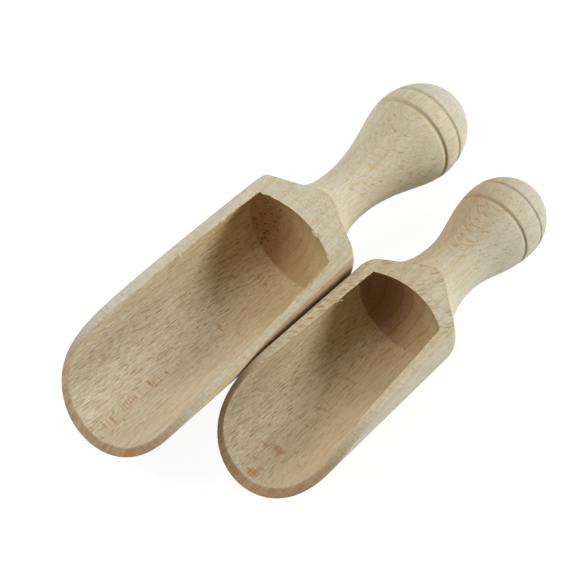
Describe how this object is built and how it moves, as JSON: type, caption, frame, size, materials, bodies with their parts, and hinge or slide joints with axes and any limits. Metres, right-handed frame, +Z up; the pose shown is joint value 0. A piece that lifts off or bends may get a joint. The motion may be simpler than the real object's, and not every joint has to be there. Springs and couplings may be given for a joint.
{
  "type": "spice scoop set",
  "caption": "Turned wooden spice scoops, large and small: trough bowls cut down to a rounded lip, with waisted handles that end in grooved bulbs.",
  "frame": {"origin": "on the table, under the middle of the pair's bounding box", "axes": "+Z up; +Y along the scoops, from tips to handles; +X from the large scoop to the small one"},
  "size_m": [0.0676, 0.1384, 0.027],
  "materials": {
    "beech": "bare sanded beech"
  },
  "bodies": {
    "large": {"large_scoop": "beech"},
    "small": {"small_scoop": "beech"}
  },
  "joints": [
    {"name": "small_scoop_lift", "type": "slide", "parent": "large", "child": "small", "axis": [0, 0, 1], "range_m": [0, 0.06]}
  ]
}
